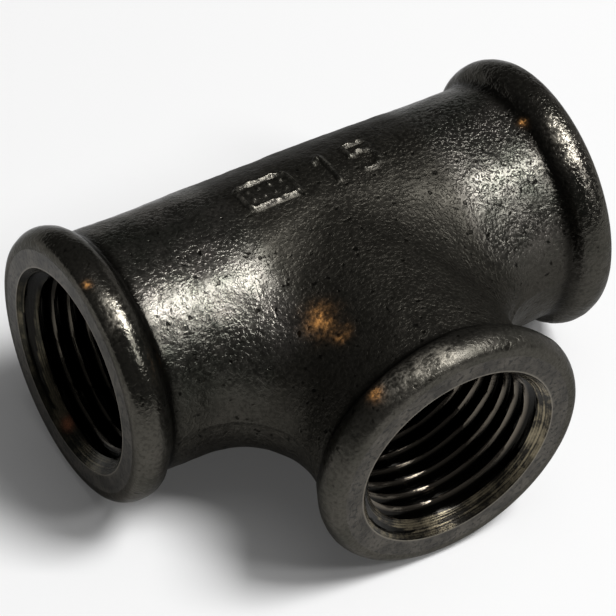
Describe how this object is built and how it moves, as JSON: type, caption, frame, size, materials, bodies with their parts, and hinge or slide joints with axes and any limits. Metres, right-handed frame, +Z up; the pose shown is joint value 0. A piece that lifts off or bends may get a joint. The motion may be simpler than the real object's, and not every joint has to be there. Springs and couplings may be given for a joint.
{
  "type": "pipe tee",
  "caption": "Black malleable-iron equal pipe tee with rounded end beads, faced ports, a blended branch and parallel female pipe threads in the run and the branch.",
  "frame": {"origin": "the point where the axis of the run and the axis of the branch cross", "axes": "+X along the run, -Y out of the branch port, +Z up when the tee lies flat on its beads"},
  "size_m": [0.056, 0.0426, 0.0291],
  "materials": {
    "black_iron": "annealed black casting skin, oiled and half gloss, with bare grey machined port faces and threads"
  },
  "bodies": {
    "root": {"tee_body": "black_iron"}
  },
  "joints": []
}
